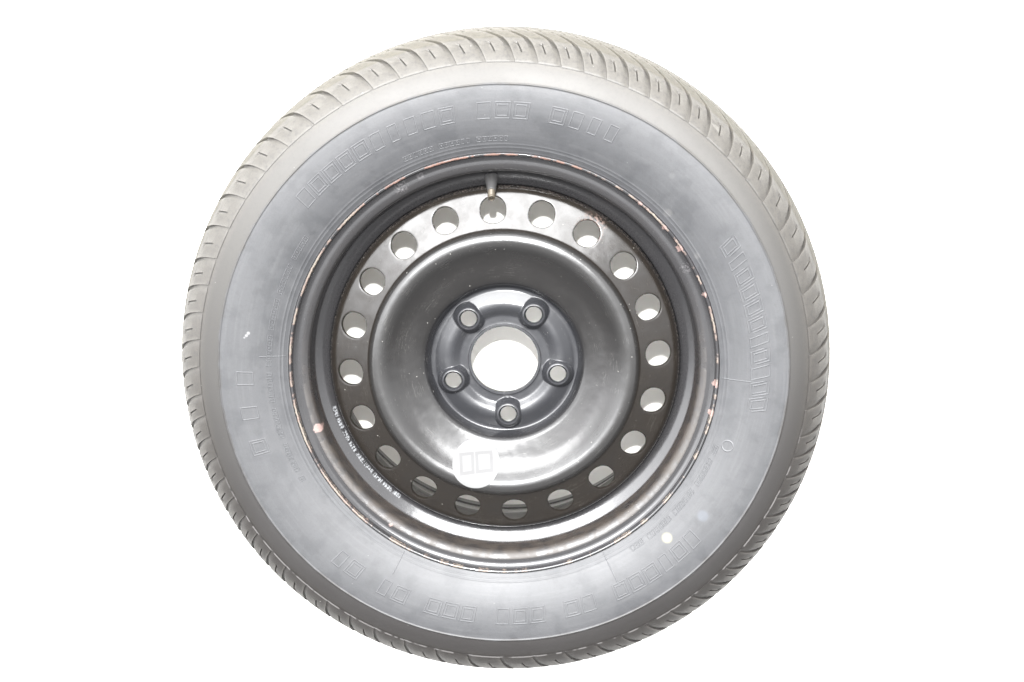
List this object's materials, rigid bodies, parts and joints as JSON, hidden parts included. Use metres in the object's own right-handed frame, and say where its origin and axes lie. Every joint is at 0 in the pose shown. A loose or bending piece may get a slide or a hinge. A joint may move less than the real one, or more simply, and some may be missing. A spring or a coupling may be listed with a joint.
{
  "type": "spare wheel",
  "caption": "Steel car wheel with a tubeless tyre: pressed disc with round vent holes, bolt seats and centre bore, slanted shoulder tread and a snap-in valve.",
  "frame": {"origin": "the wheel's centre: on the spin axis, halfway between the two sides of the tyre", "axes": "+Z along the spin axis, out of the outer face; +Y from the axis towards the valve; +X to the right when looking at the outer face with the valve at the top"},
  "size_m": [0.6825, 0.6824, 0.2222],
  "materials": {
    "tyre_rubber": "matte, dusty",
    "black_paint": "gloss",
    "valve_rubber": "satin",
    "brass": "dull",
    "seal": "satin",
    "spring_steel": "satin",
    "sticker_film": "satin"
  },
  "bodies": {
    "wheel": {"tyre": "tyre_rubber", "rim": "black_paint", "wheel_disc": "black_paint", "disc_welds": "black_paint", "valve_rubber": "valve_rubber", "valve_stem": "brass", "core_barrel": "brass", "core_gasket": "seal", "core_spring": "spring_steel", "sticker": "sticker_film"},
    "valve_pin": {"core_pin": "brass", "core_seal": "valve_rubber"}
  },
  "joints": [
    {"name": "valve_pin_press", "type": "slide", "parent": "wheel", "child": "valve_pin", "axis": [0, 0.5506, -0.8348], "range_m": [0, 0.0014], "stiffness_N_per_m": 500, "springref_m": -0.003, "deforming": ["core_spring"]}
  ]
}
